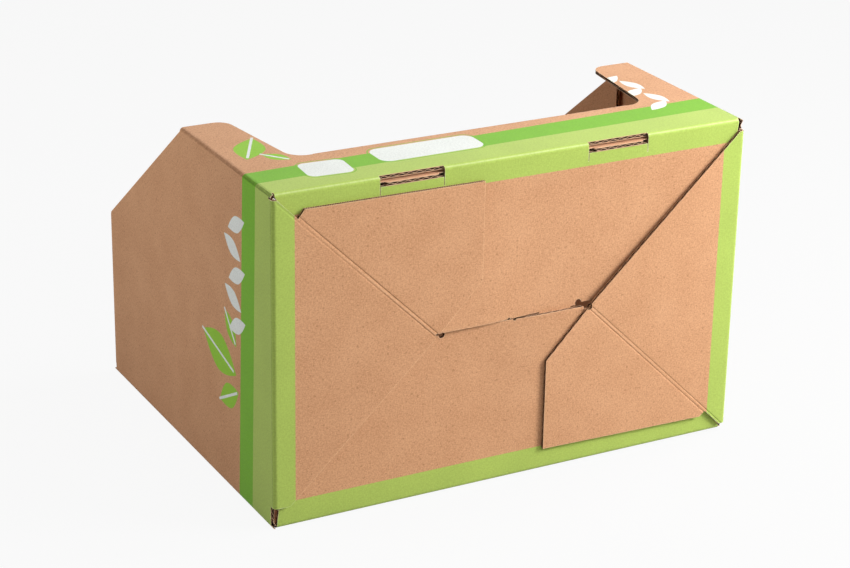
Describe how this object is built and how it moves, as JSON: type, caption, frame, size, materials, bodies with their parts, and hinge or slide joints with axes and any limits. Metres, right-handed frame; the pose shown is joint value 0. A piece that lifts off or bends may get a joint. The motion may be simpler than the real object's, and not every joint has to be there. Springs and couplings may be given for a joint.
{
  "type": "cardboard display tray box",
  "caption": "Folded corrugated cardboard tray box with an open top, a low front lip between ears, slanted side walls and a glued crash-lock bottom.",
  "frame": {"origin": "middle of the back wall's outside face, which the tray lies on: centre of the bounding box at floor level", "axes": "+X across the tray's width, +Y from the tray's bottom to its open top, so the bottom faces -Y, and +Z from the back wall up to the front wall, as the tray lies on its back wall in the picture"},
  "size_m": [0.38, 0.306, 0.25],
  "materials": {
    "board": "kraft liner, matte, with printed green bands along the bottom edges"
  },
  "bodies": {
    "root": {"tray": "board"}
  },
  "joints": []
}
